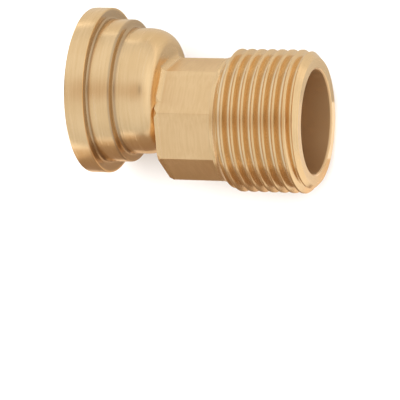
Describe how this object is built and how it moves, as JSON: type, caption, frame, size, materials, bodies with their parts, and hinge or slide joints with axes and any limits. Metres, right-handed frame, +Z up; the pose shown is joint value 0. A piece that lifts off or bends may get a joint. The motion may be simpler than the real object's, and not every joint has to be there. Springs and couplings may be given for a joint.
{
  "type": "push fit coupling",
  "caption": "Eccentric brass coupling: push fit socket for 15 mm pipe in a flanged end cap, spanner octagon and an offset male thread with a plain bore.",
  "frame": {"origin": "bottom centre of the coupling as it lies on its side on a bench", "axes": "+X along both axes from the pipe socket's mouth to the threaded end, +Z up, the thread's axis offset to -Y and down"},
  "size_m": [0.0456, 0.0342, 0.0316],
  "materials": {
    "brass": "finely turned and brushed, satin",
    "release_nylon": "moulded, satin",
    "acetal": "moulded, satin",
    "spring_steel": "stamped, bright",
    "support_nylon": "moulded, satin",
    "seal_rubber": "greased EPDM"
  },
  "bodies": {
    "coupling": {"body": "brass", "end_cap": "brass", "guide_ring": "acetal", "support_ring": "support_nylon", "backing_washer": "acetal", "pipe_seal": "seal_rubber"},
    "release": {"release_collar": "release_nylon"},
    "grab": {"grab_ring": "spring_steel"}
  },
  "joints": [
    {"name": "release_press", "type": "slide", "parent": "coupling", "child": "release", "axis": [1, 0, 0], "range_m": [0, 0.0015]},
    {"name": "grab_ring_turn", "type": "hinge", "parent": "coupling", "child": "grab", "pos_m": [-0.01538, 0.00129, 0.0158], "axis": [1, 0, 0], "continuous": true}
  ]
}
